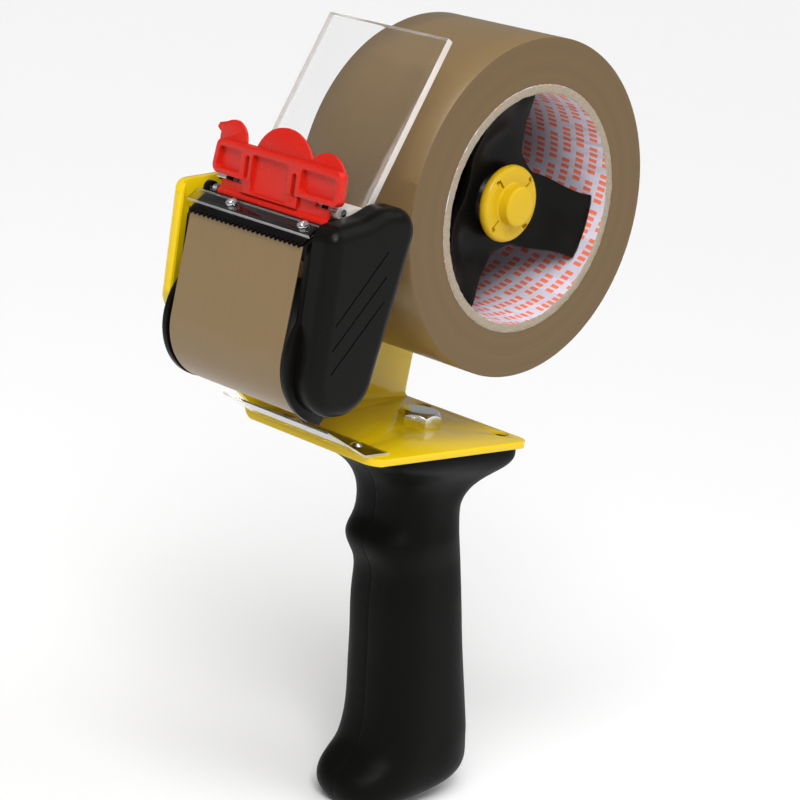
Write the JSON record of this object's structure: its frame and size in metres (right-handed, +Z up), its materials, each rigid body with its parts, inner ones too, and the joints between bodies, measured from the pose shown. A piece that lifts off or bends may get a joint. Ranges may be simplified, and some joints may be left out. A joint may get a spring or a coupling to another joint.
{
  "type": "tape gun dispenser",
  "caption": "Hand-held packing tape dispenser with a bent sheet frame, pistol grip, roll hub with brake knob, applicator roller, toothed blade, wiper flap and clear guard.",
  "frame": {"origin": "on the roll axis, half-way across the tape", "axes": "+Z up, square to the base plate that the handle hangs from; +X to the rear of the gun, away from the roller and blade; +Y to the closed side, where the frame's side plate is"},
  "size_m": [0.1608, 0.071, 0.2696],
  "materials": {
    "yellow_paint": "gloss powder coat",
    "black_abs": "fine satin texture",
    "black_gloss": "satin gloss",
    "yellow_abs": "moulded",
    "red_plastic": "moulded",
    "clear_plastic": "clear",
    "tape_film": "tan film",
    "core_board": "white paper over grey board",
    "roller_rubber": "ground",
    "grey_nylon": "moulded",
    "zinc_steel": "bright zinc plated",
    "spring_steel": "drawn wire",
    "blade_steel": "blued spring steel",
    "fibre": "pressed fibre"
  },
  "bodies": {
    "gun_frame": {"frame": "yellow_paint", "handle_near_half": "black_abs", "handle_far_half": "black_abs", "handle_screws": "zinc_steel", "handle_bolt": "zinc_steel", "handle_nut": "zinc_steel", "hub_axle": "zinc_steel", "friction_washer": "fibre", "brake_seat_washer": "zinc_steel", "brake_spring": "spring_steel", "tape_web": "tape_film", "roller_axle": "zinc_steel", "roller_axle_nut": "zinc_steel", "near_cheek": "black_gloss", "far_cheek": "black_gloss", "tie_rod": "zinc_steel", "near_cover": "black_gloss", "cover_screws": "zinc_steel", "blade_carrier": "black_abs", "blade": "blade_steel", "blade_clamp": "clear_plastic", "blade_screws": "zinc_steel", "wiper_pin": "zinc_steel", "wiper_spring": "spring_steel", "guard_pin": "zinc_steel", "guard_spring": "spring_steel", "nonreturn_leaf": "clear_plastic", "leaf_rivets": "zinc_steel"},
    "roll": {"core_hub": "black_gloss", "hub_bush": "grey_nylon", "tape_core": "core_board", "tape_roll": "tape_film"},
    "roller": {"roller_sleeve": "roller_rubber", "roller_core": "grey_nylon", "roller_bushes": "grey_nylon"},
    "brake_washer": {"brake_pressure_washer": "zinc_steel"},
    "knob": {"brake_knob": "yellow_abs"},
    "wiper": {"wiper_flap": "red_plastic"},
    "guard": {"guard_flap": "clear_plastic"}
  },
  "joints": [
    {"name": "roll_spin", "type": "hinge", "parent": "gun_frame", "child": "roll", "pos_m": [0, 0, 0], "axis": [0, 1, 0], "continuous": true},
    {"name": "roller_spin", "type": "hinge", "parent": "gun_frame", "child": "roller", "pos_m": [-0.084, 0, -0.0437], "axis": [0, 1, 0], "continuous": true},
    {"name": "brake_washer_slide", "type": "slide", "parent": "gun_frame", "child": "brake_washer", "axis": [0, 1, 0], "range_m": [-0.00094, 0.00094], "deforming": ["brake_spring"]},
    {"name": "brake_knob_turn", "type": "hinge", "parent": "brake_washer", "child": "knob", "pos_m": [0, 0, 0], "axis": [0, 1, 0], "range_deg": [-270, 270]},
    {"name": "wiper_hinge", "type": "hinge", "parent": "gun_frame", "child": "wiper", "pos_m": [-0.0918, 0, -0.003], "axis": [0, 1, 0], "range_deg": [-40, 4], "stiffness_Nm_per_rad": 0.03},
    {"name": "guard_hinge", "type": "hinge", "parent": "gun_frame", "child": "guard", "pos_m": [-0.0886, 0, 0.0008], "axis": [0, 1, 0], "range_deg": [-30, 8], "stiffness_Nm_per_rad": 0.3}
  ],
  "couplings": [
    {"joint": "roller_spin", "follows": "roll_spin", "ratio": -2.8718},
    {"joint": "brake_knob_turn", "follows": "brake_washer_slide", "rad_per_m": 5026.6}
  ]
}
